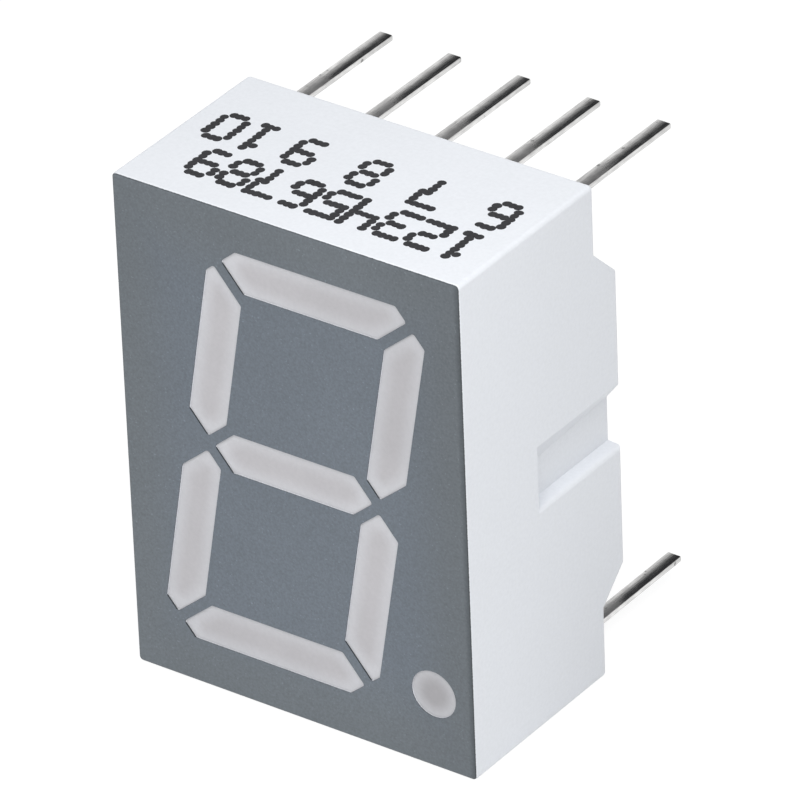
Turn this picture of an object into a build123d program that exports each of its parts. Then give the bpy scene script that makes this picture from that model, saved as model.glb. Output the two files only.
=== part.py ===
from build123d import *
import math
import os

# Single digit seven segment display with a decimal point and ten leads, in millimetres.
# The pieces are drawn from the front face back: depth 0 is the front face. They are
# exported with the origin at the centre of the lead pattern, on the plane of the rear
# feet, which is the face of the board. +X is to the viewer's right, +Z is up, and the
# leads run back along +Y.

# Lead pattern
leads_per_row = 5
lead_pitch = 2.54
lead_width = 0.5
lead_reach = 4.37             # from the rear faces of the feet to the lead tips
lead_crown = 0.035            # rise of the crowned faces of the tinned length
lead_corner_radius = 0.05
lead_tip_hollow = 0.06        # depth of the sheared end between its two corners
lead_tip_radius = 0.06
lead_neck = 0.45              # bare length behind the rear edge, in front of the tin
lead_bend_radius = 0.15       # inside radius of the bend
lead_flange = 1.0             # lead row to the end of the straight root in the sheet

# Digit
digit_height = 14.17
digit_lean = 10               # degrees from upright
digit_left_of_centre = 0.036
digit_above_centre = 0.10
stroke = 1.375
segment_gap = 0.35
acute_bevel = 0.93            # outer corner to the bevel, at the two sharp corners
obtuse_bevel = 0.605          # outer corner to the bevel, at the two blunt corners
acute_bisector = 40           # degrees, outwards through a sharp corner
obtuse_bisector = 130
obtuse_gap_shift = 0.16       # lengthens the top and bottom bars at the blunt corners
waist_inset = 0.83            # side of the digit to where the waist gaps cross
waist_drop = 0.09
window_radius = 0.1
cavity_narrowing = 0.65       # opening around the die, as a share of its window

# Decimal point
dot_diameter = 1.6
dot_to_side = 1.44            # centre of the dot to the side face
dot_above_base = 0.225        # lowest point of the dot to the foot of the digit
dot_draft = 2                 # degrees

# Housing
stacking_gap = 0.2            # between displays that stand side by side on the pitch
side_margin = 1.041           # leaning digit to each side face
end_margin = 1.465            # digit to the top or bottom face
row_to_end = 0.93             # lead row to the top or bottom face
body_depth = 6.9              # front face to the rear edge of the top and bottom walls
foot_height = 1.1             # how far the feet stand behind that edge
foot_to_end = 3.46            # foot to the top or bottom face
foot_ramp = 1.06              # slope at each end of a foot
foot_thickness = 1.25         # side wall between the feet and the pocket
end_wall = 0.65               # around the lead rows, on all three sides
long_edge_radius = 0.15
front_edge_radius = 0.1
rear_edge_radius = 0.14
pocket_floor = 4.0            # front face to the floor that the lead frame lies on
pocket_corner_radius = 0.25
fill_depth = 2.4              # cast epoxy behind that floor

# Side channels
channel_depth = 0.5
channel_front = 3.65          # front face to the blind end of the channel
channel_top = 1.21            # upper edge at the side face
channel_top_slope_rear = 0.65
channel_top_slope_front = 0.9
channel_ledge = 1.0           # lower edge at the side face
channel_ledge_slope = 0.05
channel_ledge_radius = 0.15

# Face coat
coat_thickness = 0.05
coat_wrap = 0.13              # how far back the coat runs around the front edges

# Lead frame, dies and wires
sheet = 0.25
strip_width = 0.5
strip_to_wall = 0.35
pad_size = 0.9
post_length = 0.7
bond_span = 1.2               # die centre to the middle of its post
dot_pad_size = 0.6
dot_post_length = 0.5
dot_bond_span = 0.75
die_size = 0.3
die_height = 0.2
wire_diameter = 0.04
wire_rise = 0.3               # top of the die to the crest of the wire
wire_bend_radius = 0.15
ball_diameter = 0.1
ball_height = 0.04

# Worked out from the values above
lean = math.tan(math.radians(digit_lean))
body_width = leads_per_row * lead_pitch - stacking_gap
body_height = digit_height + 2 * end_margin
half_width = body_width / 2
half_height = body_height / 2
row_height = half_height - row_to_end
first_lead = (leads_per_row - 1) / 2 * lead_pitch
foot_plane = body_depth + foot_height
foot_half_length = half_height - foot_to_end
lead_tip = foot_plane + lead_reach
dip_line = body_depth + lead_neck
pocket_middle = half_width - foot_thickness
pocket_end = half_width - end_wall
digit_half_width = (body_width - 2 * side_margin - digit_height * lean) / 2
digit_half_height = digit_height / 2
digit_centre = Vector(-digit_left_of_centre, digit_above_centre)
inner_half_width = digit_half_width - stroke / math.cos(math.radians(digit_lean))
cavity_depth = pocket_floor - coat_thickness
beyond = body_width           # longer than anything that is cut with it
round_share = 0.45            # of a short wall, for the round at each of its ends


def slab(outline, near, far):
    """A solid between two depths behind the face, from an outline seen from the front."""
    return extrude(Plane.XZ.offset(-near) * outline, amount=near - far)


def in_front(shape):
    """The flat face of a solid that lies nearest the viewer."""
    return shape.faces().sort_by(Axis.Y)[0]


# The digit: a leaning block with two counters, cut into seven by the gaps
def leaning_block(side, bottom, top):
    corners = [(-side, bottom), (side, bottom), (side, top), (-side, top)]
    return make_face(Polyline([(x + z * lean, z) for x, z in corners], close=True))


def corner_cut(x, z, bisector, bevel, shift):
    """The bevel on an outer corner, and the gap that runs inwards from it."""
    reach = 2 * stroke
    outside = Pos(beyond / 2 - bevel, 0) * Rectangle(beyond, beyond)
    gap = Pos(-reach / 2, shift) * Rectangle(reach, segment_gap)
    return Pos(x, z) * Rot(0, 0, bisector) * (outside + gap)


def waist_cut():
    """The crossed gaps right of the middle bar, open to the side of the digit."""
    reach = 1.5 * stroke
    notch = Pos(beyond / 2 - segment_gap / 2, segment_gap / 2 - beyond / 2) * Rectangle(beyond, beyond)
    lower_gap = Pos(-reach / 2, 0) * Rectangle(reach, segment_gap)
    upper_gap = Pos(0, reach / 2) * Rectangle(segment_gap, reach)
    crossing = Pos(digit_half_width - waist_inset, -waist_drop)
    return crossing * Rot(0, 0, acute_bisector) * (notch + lower_gap + upper_gap)


def digit_outline():
    top = digit_half_height
    upper_counter = leaning_block(inner_half_width, stroke / 2, top - stroke)
    sharp_corner = corner_cut(digit_half_width + top * lean, top, acute_bisector, acute_bevel, 0)
    blunt_corner = corner_cut(
        -digit_half_width + top * lean, top, obtuse_bisector, obtuse_bevel, obtuse_gap_shift
    )
    digit = leaning_block(digit_half_width, -top, top)
    for cut in (upper_counter, sharp_corner, blunt_corner, waist_cut()):
        digit = digit - cut - Rot(0, 0, 180) * cut
    return Pos(digit_centre) * fillet(digit.vertices(), window_radius)


# The middle of each emitter's window, and the direction from its die to its bonding post
bar_line = digit_half_height - stroke / 2
side_line = (digit_half_width + inner_half_width) / 2
right = Vector(1, 0)
up = Vector(0, 1)
leaning_up = Vector(math.sin(math.radians(digit_lean)), math.cos(math.radians(digit_lean)))


def on_digit(side, height):
    return digit_centre + Vector(side + height * lean, height)


middles = {
    "segment_a": on_digit(0, bar_line),
    "segment_b": on_digit(side_line, bar_line / 2),
    "segment_c": on_digit(side_line, -bar_line / 2),
    "segment_d": on_digit(0, -bar_line),
    "segment_e": on_digit(-side_line, -bar_line / 2),
    "segment_f": on_digit(-side_line, bar_line / 2),
    "segment_g": on_digit(0, 0),
}
dot_centre = Vector(
    half_width - dot_to_side,
    digit_centre.Y - digit_half_height + dot_above_base + dot_diameter / 2,
)
to_post = {
    "segment_a": right,
    "segment_b": leaning_up,
    "segment_c": -leaning_up,
    "segment_d": -right,
    "segment_e": -leaning_up,
    "segment_f": leaning_up,
    "segment_g": -right,
    "decimal_point": -up,
}


# Light cavities
def segment_cavity(window, middle):
    """A straight-sided funnel from the segment's window to a smaller opening around its die."""
    towards_middle = (middle - digit_centre) * (1 - cavity_narrowing)
    opening = Pos(towards_middle) * scale(window, by=cavity_narrowing)    # scaled about the digit's centre
    return loft([Plane.XZ.offset(-coat_thickness) * window, Plane.XZ.offset(-pocket_floor) * opening])


def dot_cavity():
    taper = cavity_depth * math.tan(math.radians(dot_draft))
    radius = dot_diameter / 2
    cone = Cone(radius, radius - taper, cavity_depth, align=(Align.CENTER, Align.CENTER, Align.MIN))
    return Pos(dot_centre.X, coat_thickness, dot_centre.Y) * Rot(-90, 0, 0) * cone


windows = digit_outline().faces()
cavities = [segment_cavity(windows.sort_by_distance(middle)[0], middle) for middle in middles.values()]
cavities.append(dot_cavity())


# Face coat and housing
def rounded_front(inset, near, far):
    """The block behind the front face, its long edges and front edges rounded."""
    outline = RectangleRounded(body_width - 2 * inset, body_height - 2 * inset, long_edge_radius - inset)
    block = slab(outline, near, far)
    return fillet(in_front(block).edges(), front_edge_radius - inset)


def feet():
    """The two side walls with their feet, drawn from the side."""
    root = foot_half_length + foot_ramp
    upper = [(pocket_floor, root), (body_depth, root), (foot_plane, foot_half_length)]
    lower = [(y, -z) for y, z in reversed(upper)]
    profile = make_face(Polyline(upper + lower, close=True))
    return extrude(Plane.YZ * profile, amount=half_width, both=True)


def pocket_outline():
    """Open back of the housing, wider at the two lead rows. Two rounds share each step between the widths."""
    inside = half_height - end_wall
    row_zone = inside - foot_half_length
    outline = Rectangle(2 * pocket_middle, 2 * inside)
    for side in (1, -1):
        outline += Pos(0, side * (inside - row_zone / 2)) * Rectangle(2 * pocket_end, row_zone)
    step = foot_thickness - end_wall
    return fillet(outline.vertices(), min(pocket_corner_radius, round_share * step))


def channel_section(depth, top_slope):
    """The channel's section on the right side, at one depth behind the face."""
    outside = half_width + channel_depth
    floor = half_width - channel_depth
    below_ledge = -channel_ledge - 2 * channel_ledge_radius
    outline = make_face(
        Polyline(
            (outside, channel_top),
            (half_width, channel_top),
            (floor, channel_top - top_slope),
            (floor, channel_ledge_slope - channel_ledge),
            (half_width, -channel_ledge),
            (half_width, below_ledge),
            (outside, below_ledge),
            close=True,
        )
    )
    lip = outline.vertices().sort_by_distance((half_width, -channel_ledge, 0))[0]
    return Plane.XZ.offset(-depth) * fillet(lip, channel_ledge_radius)


def side_channel():
    front = channel_section(channel_front, channel_top_slope_front)
    rear = channel_section(foot_plane, channel_top_slope_rear)
    return loft([front.face(), rear.face()], ruled=True)


def housing():
    body = rounded_front(coat_thickness, coat_thickness, coat_wrap)
    outline = RectangleRounded(body_width, body_height, long_edge_radius)
    body += slab(outline, coat_wrap, body_depth) + feet()
    rear_edges = body.edges().filter_by(
        lambda edge: abs(abs(edge.center().X) - half_width) < 1e-6 and edge.center().Y >= body_depth - 1e-6
    )
    body = fillet(rear_edges, rear_edge_radius)
    channel = side_channel()
    body -= slab(pocket_outline(), pocket_floor, foot_plane)
    body -= [channel, mirror(channel, Plane.YZ)]
    return body - cavities


def face_coat():
    coat = rounded_front(0, 0, coat_wrap) - rounded_front(coat_thickness, coat_thickness, coat_wrap)
    return coat - [extrude(in_front(cavity), amount=coat_thickness) for cavity in cavities]


# Lead frame: stamped from one sheet, then each lead is bent square to it
def strip(*points):
    """A flat strip with round ends through the given points."""
    runs = Sketch()
    for start, end in zip(points, points[1:]):
        run = end - start
        slot = SlotCenterToCenter(run.length, strip_width)
        turn = math.degrees(math.atan2(run.Y, run.X))
        runs += Pos(*((start + end) / 2)) * Rot(0, 0, turn) * slot
    return runs


def pad(centre, along, length, width):
    """A rectangle whose length lies in one direction."""
    turn = math.degrees(math.atan2(along.Y, along.X))
    return Pos(centre.X, centre.Y) * Rot(0, 0, turn) * Rectangle(length, width)


def prong_section():
    """Section of a tin dipped lead: both faces are crowned and the corners are round."""
    half = lead_width / 2
    edge = sheet / 2 - lead_crown
    top = ThreePointArc((-half, edge), (0, sheet / 2), (half, edge))
    bottom = mirror(top, Plane.XZ)
    sides = [Line(top @ 0, bottom @ 0), Line(top @ 1, bottom @ 1)]
    outline = make_face([top, bottom, *sides])
    return fillet(outline.vertices(), lead_corner_radius)


def bent_lead(x, side):
    """One lead: a flat root in the sheet, a square bend, and the tinned prong behind it."""
    top = row_height + sheet / 2
    root = Pos(pocket_floor + sheet / 2, top - lead_flange / 2) * Rectangle(sheet, lead_flange)
    length = dip_line - pocket_floor
    neck = Pos(pocket_floor + length / 2, row_height) * Rectangle(length, sheet)
    profile = root + neck
    inner = profile.vertices().sort_by_distance((pocket_floor + sheet, top - sheet, 0))[0]
    profile = fillet(inner, lead_bend_radius)
    outer = profile.vertices().sort_by_distance((pocket_floor, top, 0))[0]
    profile = fillet(outer, lead_bend_radius + sheet)
    flat = extrude(Plane.YZ * profile, amount=lead_width / 2, both=True)
    prong = slab(Pos(0, row_height) * prong_section(), dip_line, lead_tip)
    hollow_radius = (lead_width**2 / 4 + lead_tip_hollow**2) / (2 * lead_tip_hollow)
    prong -= Pos(0, lead_tip + hollow_radius - lead_tip_hollow, row_height) * Cylinder(hollow_radius, beyond)
    tip_edges = prong.edges().filter_by(lambda edge: edge.center().Y > lead_tip - 2 * lead_tip_hollow)
    solid = flat + fillet(tip_edges, lead_tip_radius)
    if side < 0:
        solid = mirror(solid, Plane.XY)
    return Pos(x, 0, 0) * solid


def lead_root(column, side):
    """Where the root of a lead ends in the sheet. Column 0 is at the left."""
    return Vector(column * lead_pitch - first_lead, side * (row_height + sheet / 2 - lead_flange))


def stamped(outline, *leads):
    """A flat outline in the sheet, with its bent leads."""
    piece = slab(outline, pocket_floor, pocket_floor + sheet)
    for root in leads:
        piece += bent_lead(root.X, root.Y)
    return piece


# Where each die and each bonding post is
dies = {name: middle - to_post[name] * bond_span / 2 for name, middle in middles.items()}
dies["segment_g"] = Vector(strip_width / 2, middles["segment_g"].Y)
posts = {name: die + to_post[name] * bond_span for name, die in dies.items()}
dies["decimal_point"] = dot_centre + up * dot_bond_span / 2
posts["decimal_point"] = dot_centre - up * dot_bond_span / 2
beside_wall = pocket_middle - strip_to_wall - strip_width / 2    # a strip that follows the wall


def common_cathode_frame():
    """A spine between the two middle leads, and a branch to the pad under every die."""
    spine = [lead_root(leads_per_row // 2, side) for side in (1, -1)]
    outline = strip(*spine)
    outline += strip(dies["segment_f"], dies["segment_b"])
    outline += strip(dies["segment_e"], dies["segment_c"])
    for name in ("segment_a", "segment_d", "segment_g"):
        outline += strip(Vector(0, dies[name].Y), dies[name])
    for name in middles:
        outline += pad(dies[name], to_post[name], pad_size, pad_size)
    dot_die = dies["decimal_point"]
    around = [Vector(beside_wall, dies["segment_c"].Y), Vector(beside_wall, dot_die.Y + pad_size)]
    outline += strip(dies["segment_c"], *around, dot_die)
    outline += pad(dot_die, up, dot_pad_size, dot_pad_size)
    return stamped(outline, *spine)


def anode_lead(name, root, corners=()):
    """An anode's lead, and a strip past any corners to its bonding post."""
    length = dot_post_length if name == "decimal_point" else post_length
    outline = strip(root, *corners, posts[name]) + pad(posts[name], to_post[name], length, strip_width)
    return stamped(outline, root)


def level_corner(name, root):
    """The corner of a strip that runs straight from its root, then across to its post."""
    return [Vector(root.X, posts[name].Y)]


def anode_leads():
    top = [lead_root(column, 1) for column in range(leads_per_row)]
    bottom = [lead_root(column, -1) for column in range(leads_per_row)]
    below_f = (dies["segment_f"].Y + posts["segment_g"].Y) / 2
    around_f = [
        Vector(-beside_wall, top[0].Y - lead_flange),
        Vector(-beside_wall, below_f),
        Vector(posts["segment_g"].X, below_f),
    ]
    return {
        "segment_a": anode_lead("segment_a", top[-2], level_corner("segment_a", top[-2])),
        "segment_b": anode_lead("segment_b", top[-1]),
        "segment_c": anode_lead("segment_c", bottom[-2]),
        "segment_d": anode_lead("segment_d", bottom[1], level_corner("segment_d", bottom[1])),
        "segment_e": anode_lead("segment_e", bottom[0]),
        "segment_f": anode_lead("segment_f", top[1]),
        "segment_g": anode_lead("segment_g", top[0], around_f),
        "decimal_point": anode_lead("decimal_point", bottom[-1]),
    }


# Dies and bond wires
def die(name):
    return slab(pad(dies[name], to_post[name], die_size, die_size), pocket_floor - die_height, pocket_floor)


def bond_wire(name):
    """From a flattened ball on the die, over and down to the post."""
    die_top = pocket_floor - die_height
    crest = die_top - wire_rise
    start, end = dies[name], posts[name]
    route = FilletPolyline(
        (start.X, die_top, start.Y),
        (start.X, crest, start.Y),
        (end.X, crest, end.Y),
        (end.X, pocket_floor, end.Y),
        radius=wire_bend_radius,
    )
    section = Plane(origin=route @ 0, z_dir=route % 0) * Circle(wire_diameter / 2)
    ball = slab(Pos(start) * Circle(ball_diameter / 2), die_top - ball_height, die_top)
    return sweep(section, path=route) + ball


def epoxy_fill(held):
    """The casting in the light cavities and the pocket, around the pieces that it holds."""
    cast = slab(pocket_outline(), pocket_floor, pocket_floor + fill_depth)
    cast += cavities
    return cast - held


held_pieces = {"common_cathode_frame": common_cathode_frame()}
for emitter, lead in anode_leads().items():
    held_pieces[emitter + "_lead"] = lead
    held_pieces[emitter + "_die"] = die(emitter)
    held_pieces[emitter + "_bond_wire"] = bond_wire(emitter)

pieces = {
    "housing": housing(),
    "grey_face_coat": face_coat(),
    "epoxy_fill": epoxy_fill(held_pieces.values()),
    **held_pieces,
}

os.makedirs("parts", exist_ok=True)
for node, shape in pieces.items():
    export_step(Pos(0, -foot_plane, 0) * shape, f"parts/{node}.step")
    print(node, round(shape.volume, 4))
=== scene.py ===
# %% [markdown]
# # A seven segment display
#
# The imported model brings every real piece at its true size: the white moulded housing, the grey
# coat on its face, the cast epoxy, ten tinned leads, and the chips and wires inside. This lesson
# leaves those shapes as they are. It gives each one the finish that such a piece has, adds the
# ink-jet print on the top wall, and sets up a plain white studio.

# %% Load the frame
import math
import bpy
from mathutils import Matrix, Vector


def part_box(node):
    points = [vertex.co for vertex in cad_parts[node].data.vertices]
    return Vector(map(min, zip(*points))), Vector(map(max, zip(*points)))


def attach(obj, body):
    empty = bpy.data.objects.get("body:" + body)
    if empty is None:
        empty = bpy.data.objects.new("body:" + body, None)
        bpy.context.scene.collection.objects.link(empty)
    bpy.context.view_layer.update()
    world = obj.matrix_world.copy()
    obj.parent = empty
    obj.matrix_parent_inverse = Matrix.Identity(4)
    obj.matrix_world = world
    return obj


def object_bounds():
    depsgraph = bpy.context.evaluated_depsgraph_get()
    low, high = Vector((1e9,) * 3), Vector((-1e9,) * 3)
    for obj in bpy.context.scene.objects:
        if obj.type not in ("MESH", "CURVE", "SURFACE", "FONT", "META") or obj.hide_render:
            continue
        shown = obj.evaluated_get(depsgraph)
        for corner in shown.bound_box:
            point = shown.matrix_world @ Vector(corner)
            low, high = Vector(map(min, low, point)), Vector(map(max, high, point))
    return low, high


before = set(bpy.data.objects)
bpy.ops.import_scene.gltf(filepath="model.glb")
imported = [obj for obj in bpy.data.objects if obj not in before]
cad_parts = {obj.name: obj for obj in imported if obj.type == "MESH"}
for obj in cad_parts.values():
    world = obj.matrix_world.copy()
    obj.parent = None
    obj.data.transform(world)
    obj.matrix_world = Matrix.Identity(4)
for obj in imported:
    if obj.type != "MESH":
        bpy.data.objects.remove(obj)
cad_low, cad_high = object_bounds()
MM = 0.001
scene = bpy.context.scene
print("nodes", len(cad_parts), "size in mm", [round(side / MM, 2) for side in cad_high - cad_low])

# %% [markdown]
# ## The camera
#
# A small part is seen from well back through a long lens, so that its parallel edges stay
# nearly parallel. The camera is placed by the direction it looks from, which is easier to read
# than a matrix: so many degrees round to the right, so many up, and a slight tilt of the frame.

# %% Camera
LOOK_AT = Vector((1.910, -5.172, 1.866)) * MM
AZIMUTH, ELEVATION, ROLL = math.radians(36.53), math.radians(31.33), math.radians(-2.32)
DISTANCE = 294.99 * MM
FOCAL_LENGTH, SENSOR_WIDTH = 448.7, 36.0

away = Vector((
    math.sin(AZIMUTH) * math.cos(ELEVATION),
    -math.cos(AZIMUTH) * math.cos(ELEVATION),
    math.sin(ELEVATION),
))
turn = away.to_track_quat("Z", "Y").to_matrix().to_4x4() @ Matrix.Rotation(ROLL, 4, "Z")
camera = bpy.data.objects.new("camera", bpy.data.cameras.new("camera"))
scene.collection.objects.link(camera)
camera.matrix_world = Matrix.Translation(LOOK_AT + away * DISTANCE) @ turn
camera.data.lens = FOCAL_LENGTH
camera.data.sensor_width = SENSOR_WIDTH
camera.data.clip_start = DISTANCE / 10
scene.camera = camera
print("camera right", [round(x, 4) for x in turn.col[0][:3]], "up", [round(x, 4) for x in turn.col[1][:3]])

# %% [markdown]
# ## A helper for node trees
#
# Materials, the world and Geometry Nodes are all trees of nodes. Written out in full, each node
# takes several lines. This helper adds one node, sets its options, and then fills its inputs,
# either with a plain value or with a link from another node's output.


# %% Node helper
def put(tree, kind, inputs=None, **options):
    """Adds a node. Each input, named or numbered, takes a value or another node's output."""
    node = tree.nodes.new(kind)
    for option, value in options.items():
        setattr(node, option, value)
    for socket, value in (inputs or {}).items():
        if isinstance(value, bpy.types.NodeSocket):
            tree.links.new(value, node.inputs[socket])
        else:
            node.inputs[socket].default_value = value
    return node


def math_step(tree, operation, *values):
    """One step of arithmetic, as the output that holds its result."""
    return put(tree, "ShaderNodeMath", dict(enumerate(values)), operation=operation).outputs[0]


def map_range(tree, value, start, end, low, high, smooth=True):
    """The value's way from start to end, given out as low to high."""
    steps = {"Value": value, "From Min": start, "From Max": end, "To Min": low, "To Max": high}
    kind = "SMOOTHSTEP" if smooth else "LINEAR"
    return put(tree, "ShaderNodeMapRange", steps, interpolation_type=kind).outputs["Result"]


# The Mix node has one set of sockets for each type of data. These are the ones for colours.
MIX_A, MIX_B, MIX_RESULT = 6, 7, 2


def mix_colour(tree, share, first, second, blend="MIX"):
    """The first colour, mixed with the second as far as the share goes."""
    inputs = {"Factor": share, MIX_A: first, MIX_B: second}
    return put(tree, "ShaderNodeMix", inputs, data_type="RGBA", blend_type=blend).outputs[MIX_RESULT]


# %% [markdown]
# ## The studio
#
# The backdrop is pure white, and the part barely shades it. So the floor and the world look white
# to the camera, while the light that falls on the part stays plain. Metal needs more care: if
# everything round it were white, a shiny lead would look like white paint. The world that
# reflections see is therefore white low down and dark higher up, as a real studio is, with one pale
# panel straight overhead.

# %% World
CEILING_DARK = (0.03, 0.031, 0.034, 1)
BACKDROP_WHITE = (1, 1, 1, 1)
AMBIENT_COLOUR = (0.985, 0.995, 1.0, 1)
AMBIENT_STRENGTH = 0.63
PANEL_PALE = (0.55, 0.55, 0.56, 1)
HORIZON_END, CEILING_START = 0.28, 0.64     # heights on a sphere of radius 1
PANEL_START, PANEL_END = 0.86, 0.97

world = bpy.data.worlds.new("studio")
world.use_nodes = True
scene.world = world
sky = world.node_tree
sky.nodes.clear()
path = put(sky, "ShaderNodeLightPath")
direction = put(sky, "ShaderNodeSeparateXYZ", {0: put(sky, "ShaderNodeTexCoord").outputs["Generated"]})
height = map_range(sky, direction.outputs["Z"], HORIZON_END, CEILING_START, 0, 1)
room = mix_colour(sky, height, BACKDROP_WHITE, CEILING_DARK)
overhead = map_range(sky, direction.outputs["Z"], PANEL_START, PANEL_END, 0, 1)
room = mix_colour(sky, overhead, room, PANEL_PALE)
backdrop = put(sky, "ShaderNodeBackground", {"Color": BACKDROP_WHITE, "Strength": 1})
reflected = put(sky, "ShaderNodeBackground", {"Color": room, "Strength": 1})
ambient = put(sky, "ShaderNodeBackground", {"Color": AMBIENT_COLOUR, "Strength": AMBIENT_STRENGTH})
seen = math_step(sky, "MAXIMUM", path.outputs["Is Camera Ray"], path.outputs["Is Transmission Ray"])
by_ray = {0: path.outputs["Is Glossy Ray"], 1: ambient.outputs[0], 2: reflected.outputs[0]}
lit = put(sky, "ShaderNodeMixShader", by_ray)
shown = put(sky, "ShaderNodeMixShader", {0: seen, 1: lit.outputs[0], 2: backdrop.outputs[0]})
put(sky, "ShaderNodeOutputWorld", {"Surface": shown.outputs[0]})

# %% Floor
FLOOR_REACH = 1.5           # metres each way from the middle
FLOOR_SHADE = 0.3           # share of the falling light that the floor adds to its glow
FLOOR_PALE = (0.80, 0.80, 0.80, 1)

low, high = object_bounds()
floor_mesh = bpy.data.meshes.new("floor")
corners = [(x * FLOOR_REACH, y * FLOOR_REACH, low.z) for x, y in ((-1, -1), (1, -1), (1, 1), (-1, 1))]
floor_mesh.from_pydata(corners, [], [(0, 1, 2, 3)])
floor = bpy.data.objects.new("floor", floor_mesh)
scene.collection.objects.link(floor)

paper = bpy.data.materials.new("white_sweep")
paper.use_nodes = True
tree = paper.node_tree
tree.nodes.clear()
path = put(tree, "ShaderNodeLightPath")
seen = math_step(tree, "MAXIMUM", path.outputs["Is Camera Ray"], path.outputs["Is Glossy Ray"])
seen = math_step(tree, "MAXIMUM", seen, path.outputs["Is Transmission Ray"])
shadow_catch = put(tree, "ShaderNodeBsdfDiffuse", {"Color": (FLOOR_SHADE,) * 3 + (1,)})
glow_strength = 1 - FLOOR_SHADE * AMBIENT_STRENGTH     # so that the far floor comes out white
glow = put(tree, "ShaderNodeEmission", {"Color": BACKDROP_WHITE, "Strength": glow_strength})
bright = put(tree, "ShaderNodeAddShader", {0: shadow_catch.outputs[0], 1: glow.outputs[0]})
bounce = put(tree, "ShaderNodeBsdfDiffuse", {"Color": FLOOR_PALE})
shown = put(tree, "ShaderNodeMixShader", {0: seen, 1: bounce.outputs[0], 2: bright.outputs[0]})
put(tree, "ShaderNodeOutputMaterial", {"Surface": shown.outputs[0]})
floor_mesh.materials.append(paper)

# %% [markdown]
# One soft lamp, high up in front and a little to the right, gives the walls their order: the top
# is brightest, then the face, then the right side. The lamp is a diffuser, a few times larger
# than the part and near it, so the light fades a little towards the rear.

# %% Key light
KEY_TOWARDS = Vector((0.222, -0.285, 0.45))     # also its share of light on the right, the face and the top
KEY_DISTANCE = 75 * MM
KEY_SIZE = 60 * MM

lamp = bpy.data.lights.new("soft_key", "AREA")
lamp.shape = "DISK"
lamp.size = KEY_SIZE
lamp.energy = KEY_TOWARDS.length * (math.pi * KEY_DISTANCE) ** 2    # shows a colour as it is written
key = bpy.data.objects.new("soft_key", lamp)
key_place = (cad_low + cad_high) / 2 + KEY_TOWARDS.normalized() * KEY_DISTANCE
key.matrix_world = Matrix.Translation(key_place) @ KEY_TOWARDS.to_track_quat("Z", "Y").to_matrix().to_4x4()
scene.collection.objects.link(key)
print("key light", round(lamp.energy * 1000, 1), "mW at", [round(x / MM) for x in key_place], "mm")

# %% [markdown]
# ## Effects that several finishes share
#
# No real surface is one flat colour. Moulded plastic, printed ink and cast resin all have a fine
# grain and faint clouds, only of different size and strength. Such an effect is built once, as a
# node group with named inputs, and each material uses it with its own values. A group hands out
# numbers only: the shader itself stays in the material.


# %% Group builder
def new_group(name, inputs, outputs):
    """An empty shader group, with number sockets of these names, and the outputs of its input node."""
    group = bpy.data.node_groups.new(name, "ShaderNodeTree")
    for label, value in inputs.items():
        socket = group.interface.new_socket(label, in_out="INPUT", socket_type="NodeSocketFloat")
        socket.default_value = value
    for label in outputs:
        group.interface.new_socket(label, in_out="OUTPUT", socket_type="NodeSocketFloat")
    return group, group.nodes.new("NodeGroupInput").outputs


def noise(tree, vector, size, detail=2.0):
    """Soft 3-D noise, with features about as large as size."""
    scale = math_step(tree, "DIVIDE", 1.0, size)
    inputs = {"Vector": vector, "Scale": scale, "Detail": detail}
    return put(tree, "ShaderNodeTexNoise", inputs, noise_dimensions="3D").outputs[0]


# %% Grain and clouds
NOISE_LOW, NOISE_MIDDLE, NOISE_HIGH = 0.3, 0.5, 0.7     # nearly all of a noise lies in this range
GRAIN_INPUTS = {
    "Grain size": 0.1 * MM,
    "Grain strength": 0.05,
    "Cloud size": 4 * MM,
    "Cloud strength": 0.02,
}

grain, values = new_group("grain", GRAIN_INPUTS, ("Tone", "Height", "Cloud"))
place = put(grain, "ShaderNodeTexCoord").outputs["Object"]
fine = noise(grain, place, values["Grain size"], detail=3.0)
broad = noise(grain, place, values["Cloud size"], detail=2.0)
fine_tone = math_step(grain, "SUBTRACT", fine, NOISE_MIDDLE)
fine_tone = math_step(grain, "MULTIPLY", fine_tone, values["Grain strength"])
broad_tone = math_step(grain, "SUBTRACT", broad, NOISE_MIDDLE)
broad_tone = math_step(grain, "MULTIPLY", broad_tone, values["Cloud strength"])
tone = math_step(grain, "ADD", math_step(grain, "ADD", fine_tone, broad_tone), 1.0)
put(grain, "NodeGroupOutput", {"Tone": tone, "Height": fine, "Cloud": broad})
gives = [socket.name for socket in grain.interface.items_tree if socket.in_out == "OUTPUT"]
print("group", grain.name, "gives", gives)


# %% [markdown]
# A material is started the same way each time: a Principled shader, and a copy of the shared grain
# whose tone darkens and lightens the base colour a little.


# %% Material helpers
def new_material(name, **constants):
    """A material with a Principled shader, its tree, and the shader. Constants sit on the shader."""
    material = bpy.data.materials.new(name)
    material.use_nodes = True
    tree = material.node_tree
    tree.nodes.clear()
    shader = put(tree, "ShaderNodeBsdfPrincipled")
    for label, value in constants.items():
        shader.inputs[label.replace("_", " ")].default_value = value
    put(tree, "ShaderNodeOutputMaterial", {"Surface": shader.outputs[0]})
    return material, tree, shader


def use_group(tree, group, **values):
    """Places a shared group, with this material's own values."""
    node = put(tree, "ShaderNodeGroup", node_tree=group)
    for label, value in values.items():
        node.inputs[label.replace("_", " ")].default_value = value
    return node.outputs


def toned(tree, colour, tone):
    """The colour times the tone, as an output."""
    tone_colour = put(tree, "ShaderNodeCombineColor", {0: tone, 1: tone, 2: tone}).outputs[0]
    return mix_colour(tree, 1.0, colour, tone_colour, blend="MULTIPLY")


def bump(tree, shader, height, depth):
    """Relief that only the light shows: the height, as tall as the depth."""
    relief = put(tree, "ShaderNodeBump", {"Height": height, "Distance": depth})
    tree.links.new(relief.outputs[0], shader.inputs["Normal"])


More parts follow.
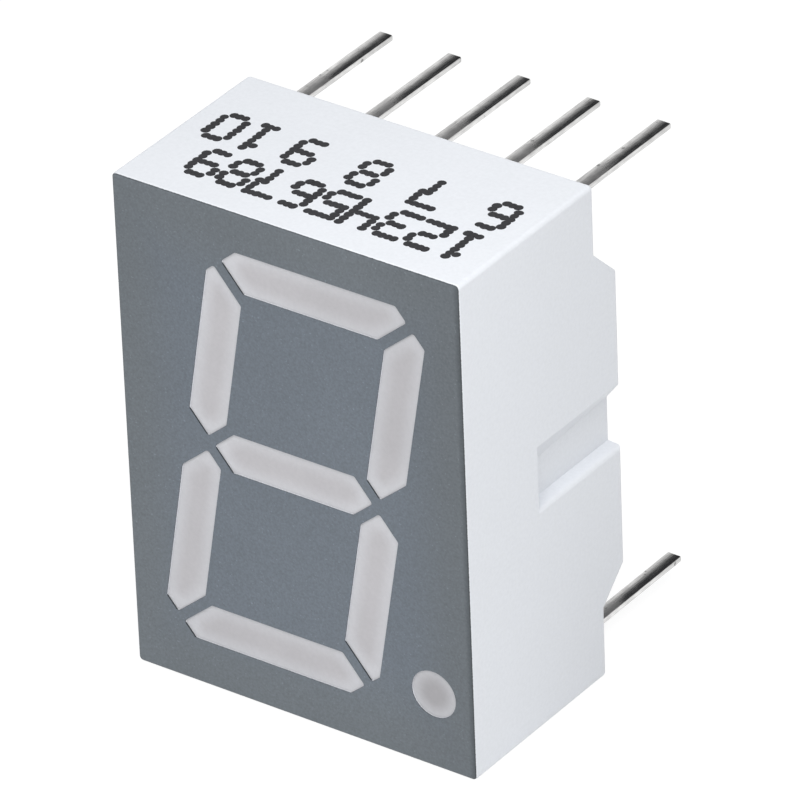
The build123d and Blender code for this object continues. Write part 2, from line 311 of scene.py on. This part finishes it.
finishes = {}

# %% [markdown]
# A finish also changes from place to place. These helpers read the place and the direction of the
# surface. Two of them turn the direction into a mask: one for edges that turn away from the
# front, and one for walls that slope across.


# %% Masks from place and normal
def place_parts(tree):
    """X, Y and Z of the point that is being shaded, in the model's own frame."""
    return put(tree, "ShaderNodeSeparateXYZ", {0: put(tree, "ShaderNodeTexCoord").outputs["Object"]}).outputs


def normal_parts(tree):
    """X, Y and Z of the surface's own direction."""
    normal = put(tree, "ShaderNodeNewGeometry").outputs["True Normal"]
    return put(tree, "ShaderNodeSeparateXYZ", {0: normal}).outputs


def turned_edge(tree, start, end):
    """0 where the surface faces the front, 1 where it has turned away from it."""
    facing = math_step(tree, "MULTIPLY", normal_parts(tree)["Y"], -1.0)
    return map_range(tree, facing, start, end, 0, 1)


def both_ways(tree, start, end):
    """0 on an upright or a level wall, 1 on one that slopes across."""
    parts = normal_parts(tree)
    slope = math_step(tree, "ABSOLUTE", math_step(tree, "MULTIPLY", parts["X"], parts["Z"]))
    return map_range(tree, slope, start, end, 0, 1)


def shaded(tree, colour, share, tone):
    """The colour, multiplied by the tone as far as the share goes. A tone above 1 makes it lighter."""
    return toned(tree, colour, map_range(tree, share, 0, 1, 1, tone, smooth=False))


# %% [markdown]
# ## The white housing
#
# The housing is moulded in a white, slightly cool plastic, loaded with pigment so that it reflects
# the light of the chips. Its surface is satin: the tool left a fine grain, too small to see as
# bumps, that spreads the highlights along the rounded edges. The side walls get a painted shade
# towards the rear, deepest near the bottom.

# %% White housing
HOUSING_WHITE = (0.815, 0.835, 0.875, 1)
HOUSING_GRAIN = {"Grain_size": 0.12 * MM, "Grain_strength": 0.11}
HOUSING_CLOUD = {"Cloud_size": 3 * MM, "Cloud_strength": 0.03}
HOUSING_GRAIN_DEPTH = 0.001 * MM
SATIN_LOW, SATIN_HIGH = 0.38, 0.48
SIDE_START, SIDE_END = 0.5, 0.9         # how far the surface points sideways
# painted shade on the side walls: darker towards the rear, most near the bottom
REAR_SHADE_TONE, LOW_REAR_SHADE_TONE = 0.95, 0.91

housing_white, tree, shader = new_material("white_housing", Specular_IOR_Level=0.35)
surface = use_group(tree, grain, **HOUSING_GRAIN, **HOUSING_CLOUD)
white = toned(tree, HOUSING_WHITE, surface["Tone"])
place = place_parts(tree)
sideways = math_step(tree, "ABSOLUTE", normal_parts(tree)["X"])
side_wall = map_range(tree, sideways, SIDE_START, SIDE_END, 0, 1)
# Painted shade on the side walls, towards the rear and deepest at the lower rear corner.
rear_shade = math_step(tree, "MULTIPLY", side_wall, map_range(tree, place["Y"], cad_low.y, 0, 0, 1))
low_rear_shade = math_step(tree, "MULTIPLY", rear_shade, map_range(tree, place["Z"], 0, cad_low.z, 0, 1))
white = shaded(tree, shaded(tree, white, rear_shade, REAR_SHADE_TONE), low_rear_shade, LOW_REAR_SHADE_TONE)
tree.links.new(white, shader.inputs["Base Color"])
satin = map_range(tree, surface["Cloud"], NOISE_LOW, NOISE_HIGH, SATIN_LOW, SATIN_HIGH)
tree.links.new(satin, shader.inputs["Roughness"])
bump(tree, shader, surface["Height"], HOUSING_GRAIN_DEPTH)
finishes["white_housing"] = housing_white

# %% [markdown]
# ## The grey coat
#
# The coat keeps the face dark around the windows, so that an unlit segment doesn't show. It is
# matte printed ink, with a faint speckle of pigment about a tenth of a millimetre across.
# The film itself is thin. On the straight walls of the windows and round the border it stops just
# past the edge, and the white plastic shows below it. Only at the mitred ends of the windows did
# the ink run down the whole wall. The surface normal tells the walls from the flat face, and a
# wall that slopes both ways is a mitred one. Walls and edges that turn away from the front get a
# painted shade, deepest on the mitred walls and on the white walls that face up inside the windows.
# The ink is painted lighter towards the bottom and darker towards the top, a painted shade darkens
# it towards the right and in a band along the right rim, and it is less blue near the border.

# %% [markdown]
# The round window of the decimal point is an exception in the ink and in the resin. Both ask how
# far a place lies from its axis, so that measure is a shared group. The bond wire inside the
# decimal point tells where that axis is.

# %% Where the decimal point is
DOT_INNER, DOT_OUTER, DOT_CLEAR = 0.3 * MM, 0.82 * MM, 1.0 * MM
wire_low, wire_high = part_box("decimal_point_bond_wire")
dot_middle = (wire_low + wire_high) / 2
print("decimal point at", [round(x / MM, 2) for x in dot_middle])

dot_distance = new_group("dot_distance", {}, ("Distance",))[0]
parts = place_parts(dot_distance)
flat_place = put(dot_distance, "ShaderNodeCombineXYZ", {0: parts["X"], 2: parts["Z"]}).outputs[0]
to_axis = {0: flat_place, 1: (dot_middle.x, 0, dot_middle.z)}
distance = put(dot_distance, "ShaderNodeVectorMath", to_axis, operation="DISTANCE").outputs["Value"]
put(dot_distance, "NodeGroupOutput", {"Distance": distance})

# %% Grey face ink
INK_MIDDLE = (0.168, 0.194, 0.226, 1)
INK_BORDER = (0.168, 0.189, 0.208, 1)
BORDER_START, BORDER_END = 0.6, 0.95            # shares of the way from the middle to the border
# painted light and shade: the ink lighter at the bottom, darker at the top, the right and the right rim
INK_TOP_SHADE, INK_BOTTOM_LIGHT = 0.92, 1.06
INK_RIGHT_SHADE = 0.88
INK_RIM_SHADE, RIM_WIDTH = 0.64, 0.25 * MM
INK_GRAIN = {"Grain_size": 0.075 * MM, "Grain_strength": 0.62}
INK_CLOUD = {"Cloud_size": 3 * MM, "Cloud_strength": 0.12}
SPECK_SIZE, SPECK_TONE = 0.06 * MM, 1.35
SPECK_START, SPECK_FULL = 0.77, 0.84            # only the peaks of a noise are specks

face_ink, tree, shader = new_material("grey_face_ink", Specular_IOR_Level=0.3)
surface = use_group(tree, grain, **INK_GRAIN, **INK_CLOUD)
place = place_parts(tree)
across = math_step(tree, "ABSOLUTE", math_step(tree, "DIVIDE", place["X"], cad_high.x))
upward = math_step(tree, "DIVIDE", place["Z"], cad_high.z)
outward = math_step(tree, "MAXIMUM", across, math_step(tree, "ABSOLUTE", upward))
to_border = map_range(tree, outward, BORDER_START, BORDER_END, 0, 1)
ink = toned(tree, mix_colour(tree, to_border, INK_MIDDLE, INK_BORDER), surface["Tone"])
# Painted light and shade: the ink lighter towards the bottom, darker towards the top.
ink = toned(tree, ink, map_range(tree, upward, -1, 1, INK_BOTTOM_LIGHT, INK_TOP_SHADE, smooth=False))
speck = noise(tree, put(tree, "ShaderNodeTexCoord").outputs["Object"], SPECK_SIZE, detail=0.0)
ink = shaded(tree, ink, map_range(tree, speck, SPECK_START, SPECK_FULL, 0, 1), SPECK_TONE)
# Painted shade: darker towards the right, and darker still in a band along the right rim.
shade_to_right = map_range(tree, place["X"], cad_high.x / 3, cad_high.x, 0, 1)
right_rim_shade = map_range(tree, place["X"], cad_high.x - RIM_WIDTH, cad_high.x, 0, 1)
ink = shaded(tree, shaded(tree, ink, shade_to_right, INK_RIGHT_SHADE), right_rim_shade, INK_RIM_SHADE)

# %% Where the film ends
# Painted shade on walls and edges that turn away from the front, more on the mitred walls.
INK_EDGE_SHADE = 0.5
MITRE_SHADE = 0.5                        # on top of the edge tone
EDGE_START, EDGE_END = 0.96, 0.6        # how far the surface still faces the front
MITRE_START, MITRE_END = 0.25, 0.4      # how much a wall slopes across
LEVEL_START, LEVEL_END = 0.2, 0.8       # how far a wall faces up
INNER_END, RIM_START = 0.93, 0.97       # shares of the way from the middle to the border
WINDOW_FILM, BORDER_FILM, FILM_FADE = 0.02 * MM, 0.04 * MM, 0.01 * MM
# painted shade on the white walls that face up inside the windows
LOWER_WALL_SHADE = 0.75
INK_GRAIN_DEPTH = 0.004 * MM
INK_SMOOTH, INK_ROUGH = 0.55, 0.68

# Painted shade where the surface turns away from the front.
turned = turned_edge(tree, EDGE_START, EDGE_END)
ink = shaded(tree, ink, turned, INK_EDGE_SHADE)
film = map_range(tree, outward, INNER_END, RIM_START, WINDOW_FILM, BORDER_FILM)
uneven = math_step(tree, "SUBTRACT", surface["Height"], NOISE_MIDDLE)
uneven = math_step(tree, "MULTIPLY", uneven, WINDOW_FILM)
depth = math_step(tree, "ADD", math_step(tree, "SUBTRACT", place["Y"], cad_low.y), uneven)
below = map_range(tree, math_step(tree, "SUBTRACT", depth, film), 0, FILM_FADE, 0, 1)
inner = map_range(tree, outward, INNER_END, RIM_START, 1, 0)
dot_reach = use_group(tree, dot_distance)["Distance"]
off_dot = map_range(tree, dot_reach, DOT_OUTER, DOT_CLEAR, 0, 1)
sloping = both_ways(tree, MITRE_START, MITRE_END)
run_down = math_step(tree, "MULTIPLY", sloping, math_step(tree, "MULTIPLY", inner, off_dot))
# Painted shade on the mitred walls, where the ink runs down the whole wall.
ink = shaded(tree, ink, math_step(tree, "MULTIPLY", turned, run_down), MITRE_SHADE)
wall_below = math_step(tree, "MULTIPLY", turned, below)
bare = math_step(tree, "MULTIPLY", wall_below, map_range(tree, run_down, 0, 1, 1, 0))
# Painted shade on the white walls that face up inside the windows.
facing_up = map_range(tree, normal_parts(tree)["Z"], LEVEL_START, LEVEL_END, 0, 1)
lower_wall_shade = math_step(tree, "MULTIPLY", facing_up, inner)
ink = mix_colour(tree, bare, ink, shaded(tree, HOUSING_WHITE, lower_wall_shade, LOWER_WALL_SHADE))
tree.links.new(ink, shader.inputs["Base Color"])
matte = map_range(tree, surface["Height"], NOISE_LOW, NOISE_HIGH, INK_SMOOTH, INK_ROUGH)
tree.links.new(matte, shader.inputs["Roughness"])
bump(tree, shader, surface["Height"], INK_GRAIN_DEPTH)
finishes["grey_face_ink"] = face_ink

# %% [markdown]
# ## The milky epoxy
#
# The windows are clear resin with a diffusing powder in it. Near a window's border the white wall of
# the light cavity lies close behind the surface, so the rim looks lighter than the middle. The
# Ambient Occlusion node can look inwards: it measures how near the casting's own walls are,
# which draws that rim on every window without a single coordinate.

# %% Milky epoxy
EPOXY_MIDDLE = (0.553, 0.540, 0.562, 1)
EPOXY_RIM = (0.66, 0.66, 0.69, 1)
RIM_REACH = 0.55 * MM
OPEN_AT_WALL, OPEN_IN_MIDDLE = 0.5, 1.0
EPOXY_GRAIN = {"Grain_size": 0.12 * MM, "Grain_strength": 0.12}
EPOXY_CLOUD = {"Cloud_size": 1.2 * MM, "Cloud_strength": 0.10}
LOOK_INSIDE = {"inside": True, "only_local": True, "samples": 8}

epoxy, tree, shader = new_material("milky_epoxy", Specular_IOR_Level=0.4)
surface = use_group(tree, grain, **EPOXY_GRAIN, **EPOXY_CLOUD)
near_wall = put(tree, "ShaderNodeAmbientOcclusion", {"Distance": RIM_REACH}, **LOOK_INSIDE)
rim = map_range(tree, near_wall.outputs["AO"], OPEN_AT_WALL, OPEN_IN_MIDDLE, 1, 0, smooth=False)
resin = toned(tree, mix_colour(tree, rim, EPOXY_MIDDLE, EPOXY_RIM), surface["Tone"])

# %% [markdown]
# Two more things change the tone of the windows. A painted shade makes the upper right windows
# slightly darker. And the round cavity of the decimal point is narrow and
# straight, so it sends less light back than the wide funnels of the segments.

# %% Painted shade and the decimal point
# painted shade on the upper right windows
UPPER_RIGHT_SHADE = 0.89
SHADE_LEFT, SHADE_RIGHT = -3 * MM, 3.5 * MM
SHADE_LOW, SHADE_HIGH = -0.5 * MM, 3 * MM
DOT_TONE, DOT_RIM_TONE = 0.74, 0.88
DOT_BACK, DOT_FRONT = cad_low.y / 2, cad_low.y * 0.9
RESIN_SMOOTH, RESIN_ROUGH = 0.34, 0.44
EPOXY_GRAIN_DEPTH = 0.002 * MM

place = place_parts(tree)
# Painted shade: the windows darken towards the upper right.
shade_to_right = map_range(tree, place["X"], SHADE_LEFT, SHADE_RIGHT, 0, 1, smooth=False)
shade_to_top = map_range(tree, place["Z"], SHADE_LOW, SHADE_HIGH, 0, 1)
resin = shaded(tree, resin, math_step(tree, "MULTIPLY", shade_to_right, shade_to_top), UPPER_RIGHT_SHADE)

dot_reach = use_group(tree, dot_distance)["Distance"]
dot_depth = map_range(tree, dot_reach, DOT_INNER, DOT_OUTER, DOT_TONE, DOT_RIM_TONE)
in_dot = map_range(tree, dot_reach, DOT_OUTER, DOT_CLEAR, 1, 0)
at_front = map_range(tree, place["Y"], DOT_BACK, DOT_FRONT, 0, 1)
in_dot = math_step(tree, "MULTIPLY", in_dot, at_front)
darkening = math_step(tree, "MULTIPLY", in_dot, math_step(tree, "SUBTRACT", dot_depth, 1.0))
dot_tone = math_step(tree, "ADD", 1.0, darkening)
tree.links.new(toned(tree, resin, dot_tone), shader.inputs["Base Color"])
satin = map_range(tree, surface["Cloud"], NOISE_LOW, NOISE_HIGH, RESIN_SMOOTH, RESIN_ROUGH)
tree.links.new(satin, shader.inputs["Roughness"])
bump(tree, shader, surface["Height"], EPOXY_GRAIN_DEPTH)
finishes["milky_epoxy"] = epoxy

# %% [markdown]
# ## The tinned leads
#
# The leads are stamped from copper alloy strip and dipped in tin. The metal froze with fine streaks
# along each lead and a few shallow dents. Stretching the noise along one axis gives the streaks:
# the same noise, read from coordinates that are squeezed along the lead. The tin is duller near the
# housing, and a painted shade darkens it towards the sheared tip.

# %% Streaks
DENT_WIDTHS = 8.0           # a dent is so many streaks wide

streaks, values = new_group("streaks", {"Width": 0.05 * MM, "Stretch": 14.0}, ("Line", "Dent"))
place = put(streaks, "ShaderNodeTexCoord").outputs["Object"]
parts = put(streaks, "ShaderNodeSeparateXYZ", {0: place}).outputs
squeezed = math_step(streaks, "DIVIDE", parts["Y"], values["Stretch"])
drawn = put(streaks, "ShaderNodeCombineXYZ", {0: parts["X"], 1: squeezed, 2: parts["Z"]}).outputs[0]
line = noise(streaks, drawn, values["Width"], detail=3.0)
dent = noise(streaks, place, math_step(streaks, "MULTIPLY", values["Width"], DENT_WIDTHS), detail=2.0)
put(streaks, "NodeGroupOutput", {"Line": line, "Dent": dent})

# %% Tinned lead
TIN_BRIGHT = (0.80, 0.795, 0.785, 1)
TIN_DULL = (0.60, 0.595, 0.59, 1)
STREAK_WIDTH, STREAK_DEPTH = 0.04 * MM, 0.004 * MM
LINE_SHARE, DENT_SHARE = 0.6, 0.4
DULL_START, DULL_END = 0.35, 0.65
# painted shade towards the sheared tip
TIP_SHADE_TONE = 0.82
NICK_TONE = 0.45
NICK_START, NICK_FULL = 0.69, 0.74          # only the peaks of the dents are nicks
DRAWN_SMOOTH, DRAWN_ROUGH = 0.10, 0.22
ROOT_END, ROOT_FADE = 0.6 * MM, 1.2 * MM
ROOT_ROUGHNESS = 0.2                        # added near the housing

tin, tree, shader = new_material("tinned_lead", Metallic=1.0)
marks = use_group(tree, streaks, Width=STREAK_WIDTH)
line_part = math_step(tree, "MULTIPLY", marks["Line"], LINE_SHARE)
dent_part = math_step(tree, "MULTIPLY", marks["Dent"], DENT_SHARE)
dullness = math_step(tree, "ADD", line_part, dent_part)
metal = mix_colour(tree, map_range(tree, dullness, DULL_START, DULL_END, 0, 1), TIN_BRIGHT, TIN_DULL)
# Painted shade: the tin darkens towards the tip.
tip_shade = map_range(tree, place_parts(tree)["Y"], cad_high.y / 2, cad_high.y, 0, 1)
metal = shaded(tree, metal, tip_shade, TIP_SHADE_TONE)
nick = map_range(tree, marks["Dent"], NICK_START, NICK_FULL, 0, 1)
metal = shaded(tree, metal, nick, NICK_TONE)
tree.links.new(metal, shader.inputs["Base Color"])
drawn_rough = map_range(tree, marks["Line"], NOISE_LOW, NOISE_HIGH, DRAWN_SMOOTH, DRAWN_ROUGH)
root_rough = map_range(tree, place_parts(tree)["Y"], ROOT_END, ROOT_END + ROOT_FADE, ROOT_ROUGHNESS, 0)
tree.links.new(math_step(tree, "ADD", drawn_rough, root_rough), shader.inputs["Roughness"])
bump(tree, shader, dullness, STREAK_DEPTH)
finishes["tinned_lead"] = tin

# %% [markdown]
# ## Chips, wires and ink
#
# The chips and their wires are sealed in the resin. They still get true finishes, because a
# reader may hide the housing to look inside. The ink of the print is nearly black and dries
# a little unevenly.

# %% Chip, wire and print ink
CHIP_AMBER = (0.35, 0.28, 0.12, 1)
WIRE_GOLD = (0.95, 0.68, 0.30, 1)
INK_BLACK = (0.032, 0.032, 0.036, 1)
CHIP_GRAIN = {"Grain_size": 0.03 * MM, "Grain_strength": 0.3, "Cloud_size": 0.2 * MM, "Cloud_strength": 0.2}
PRINT_GRAIN = {"Grain_size": 0.08 * MM, "Grain_strength": 0.9, "Cloud_size": 0.8 * MM, "Cloud_strength": 0.5}
WIRE_DARKEST = 0.85

chip, tree, shader = new_material("led_die", Roughness=0.25)
surface = use_group(tree, grain, **CHIP_GRAIN)
tree.links.new(toned(tree, CHIP_AMBER, surface["Tone"]), shader.inputs["Base Color"])
finishes["led_die"] = chip

gold, tree, shader = new_material("gold_wire", Metallic=1.0, Roughness=0.2)
marks = use_group(tree, streaks, Width=0.01 * MM, Stretch=4.0)
drawn_tone = map_range(tree, marks["Line"], NOISE_LOW, NOISE_HIGH, WIRE_DARKEST, 1.0)
tree.links.new(toned(tree, WIRE_GOLD, drawn_tone), shader.inputs["Base Color"])
finishes["gold_wire"] = gold

jet_ink, tree, shader = new_material("print_ink", Roughness=0.55, Specular_IOR_Level=0.3)
surface = use_group(tree, grain, **PRINT_GRAIN)
tree.links.new(toned(tree, INK_BLACK, surface["Tone"]), shader.inputs["Base Color"])
finishes["print_ink"] = jet_ink

# %% [markdown]
# ## Each node gets its finish
#
# Names tell what a node is made of. Every lead and the frame that carries two of them
# are tinned strip, every chip is a die, every wire is gold.

# %% Assign the finishes
FINISH_BY_ENDING = {
    "housing": "white_housing",
    "face_coat": "grey_face_ink",
    "epoxy_fill": "milky_epoxy",
    "cathode_frame": "tinned_lead",
    "_lead": "tinned_lead",
    "_die": "led_die",
    "_wire": "gold_wire",
}
for name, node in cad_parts.items():
    finish = next(slot for ending, slot in FINISH_BY_ENDING.items() if name.endswith(ending))
    node.data.materials.clear()
    node.data.materials.append(finishes[finish])
print("finished", len(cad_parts), "nodes")

# %% [markdown]
# ## The print on the top wall
#
# A continuous ink-jet printer writes with drops, on a grid of five by seven for each character.
# Here the drops are real, very low cones of ink. The characters are plain digits: a row of digits
# and the numbers of the five leads behind it. Points mark where drops fall, and Geometry Nodes
# puts a drop on each, with a little change in size, height and place, as a moving jet gives.

# %% Digits as dots
DIGITS = {
    "0": "01110 10001 10001 10001 10001 10001 01110",
    "1": "00100 01100 00100 00100 00100 00100 01110",
    "2": "11110 00001 00001 01110 10000 10000 11111",
    "3": "11110 00001 00001 01110 00001 00001 11110",
    "4": "10001 10001 10001 11111 00001 00001 00001",
    "5": "11111 10000 10000 11110 00001 00001 11110",
    "6": "01110 10000 10000 11110 10001 10001 01110",
    "7": "11111 00001 00001 00011 00010 00010 00010",
    "8": "01110 10001 10001 01110 10001 10001 01110",
    "9": "01110 10001 10001 01111 00001 00001 01110",
}
DOT_STEP_ACROSS, DOT_STEP_DOWN = 0.2 * MM, 0.235 * MM
COLUMNS, ROWS = 5, 7
CHARACTER_PITCH = 1.13 * MM


def digit_dots(digit, middle_x, middle_y):
    """Where a digit's drops fall. It is read from behind: it runs towards -X, its top towards -Y."""
    dots = []
    for row, line in enumerate(DIGITS[digit].split()):
        for column, mark in enumerate(line):
            if mark == "1":
                x = middle_x - (column - (COLUMNS - 1) / 2) * DOT_STEP_ACROSS
                y = middle_y + (row - (ROWS - 1) / 2) * DOT_STEP_DOWN
                dots.append((x, y, cad_high.z))
    return dots


def line_dots(text, first_x, middle_y):
    """The drops of a whole text, whose first character stands at first_x."""
    dots = []
    for place, digit in enumerate(text):
        dots += digit_dots(digit, first_x - place * CHARACTER_PITCH, middle_y)
    return dots


# %% Lay out the two lines
FRONT_LINE, FRONT_LINE_Y = "123456789", -6.05 * MM
LEAD_NUMBERS, LEAD_LINE_Y = ("6", "7", "8", "9", "10"), -4.05 * MM
PRINT_MARGIN = 0.75 * MM


def line_end(text):
    """Where the middle of a text stands when it reaches the print's margin, right of the centre."""
    return cad_high.x - PRINT_MARGIN - len(text) * CHARACTER_PITCH / 2


def centred_dots(text, middle_x, middle_y):
    """The drops of a text whose middle stands at middle_x."""
    return line_dots(text, middle_x + (len(text) - 1) / 2 * CHARACTER_PITCH, middle_y)


dots = centred_dots(FRONT_LINE, line_end(FRONT_LINE), FRONT_LINE_Y)
first, last = line_end(LEAD_NUMBERS[0]), -line_end(LEAD_NUMBERS[-1])
for place, number in enumerate(LEAD_NUMBERS):
    middle = first + (last - first) * place / (len(LEAD_NUMBERS) - 1)
    dots += centred_dots(number, middle, LEAD_LINE_Y)
print("drops to print:", len(dots))

# %% [markdown]
# The tree below places a cone on each point. Its sizes are named inputs of the modifier, and its
# random values have fixed seeds, so that every run prints the same dots. It ends by making the
# instances real and giving them their material.


# %% Ink drop tree
CONE_SIDES, CONE_TOP = 14, 0.8      # the top's radius is a share of the foot's
SMALLEST_DROP, LARGEST_DROP = (0.9, 0.9, 0.8), (1.08, 1.08, 1.2)


def random_vector(tree, low, high, seed):
    """A vector for each point, somewhere between low and high."""
    inputs = {0: low, 1: high, "Seed": seed}
    return put(tree, "FunctionNodeRandomValue", inputs, data_type="FLOAT_VECTOR").outputs[0]


def drop_tree():
    """A tree that prints a drop of ink on each point it is given."""
    tree = bpy.data.node_groups.new("ink_drops", "GeometryNodeTree")
    sockets = tree.interface
    sockets.new_socket("Geometry", in_out="INPUT", socket_type="NodeSocketGeometry")
    for label in ("Radius", "Height", "Scatter"):
        sockets.new_socket(label, in_out="INPUT", socket_type="NodeSocketFloat")
    sockets.new_socket("Seed", in_out="INPUT", socket_type="NodeSocketInt")
    sockets.new_socket("Geometry", in_out="OUTPUT", socket_type="NodeSocketGeometry")
    given = tree.nodes.new("NodeGroupInput").outputs
    reach = put(tree, "ShaderNodeCombineXYZ", {0: given["Scatter"], 1: given["Scatter"]}).outputs[0]
    back = put(tree, "ShaderNodeVectorMath", {0: reach, "Scale": -1.0}, operation="SCALE").outputs[0]
    shift = random_vector(tree, back, reach, given["Seed"])
    moved = put(tree, "GeometryNodeSetPosition", {"Geometry": given["Geometry"], "Offset": shift})
    cone_sizes = {
        "Vertices": CONE_SIDES,
        "Radius Top": math_step(tree, "MULTIPLY", given["Radius"], CONE_TOP),
        "Radius Bottom": given["Radius"],
        "Depth": given["Height"],
    }
    cone = put(tree, "GeometryNodeMeshCone", cone_sizes).outputs["Mesh"]
    size = random_vector(tree, SMALLEST_DROP, LARGEST_DROP, math_step(tree, "ADD", given["Seed"], 1))
    placed = {"Points": moved.outputs[0], "Instance": cone, "Scale": size}
    drops = put(tree, "GeometryNodeInstanceOnPoints", placed)
    real = put(tree, "GeometryNodeRealizeInstances", {0: drops.outputs[0]})
    inked = put(tree, "GeometryNodeSetMaterial", {"Geometry": real.outputs[0], "Material": jet_ink})
    put(tree, "NodeGroupOutput", {0: inked.outputs[0]})
    return tree


def inputs_by_name(tree):
    """The identifier of each of the tree's inputs, by which a modifier knows it."""
    return {item.name: item.identifier for item in tree.interface.items_tree if item.in_out == "INPUT"}


# %% Print the two lines
DROP_INPUTS = {"Radius": 0.152 * MM, "Height": 0.012 * MM, "Scatter": 0.012 * MM, "Seed": 5}

dot_mesh = bpy.data.meshes.new("dot_places")
dot_mesh.from_pydata(dots, [], [])
dot_places = bpy.data.objects.new("dot_places", dot_mesh)
scene.collection.objects.link(dot_places)
modifier = dot_places.modifiers.new("drops", "NODES")
modifier.node_group = drop_tree()
names = inputs_by_name(modifier.node_group)
for label, value in DROP_INPUTS.items():
    modifier[names[label]] = value
evaluated = dot_places.evaluated_get(bpy.context.evaluated_depsgraph_get())
print_mesh = bpy.data.meshes.new_from_object(evaluated)
bpy.data.objects.remove(dot_places)

top_print = bpy.data.objects.new("top_print", print_mesh)
scene.collection.objects.link(top_print)
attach(top_print, "root")
print("print has", len(dots), "drops and", len(print_mesh.polygons), "faces")

# %% [markdown]
# ## Last settings
#
# The Standard view shows colours as they are written.

# %% Finish
scene.view_settings.view_transform = "Standard"
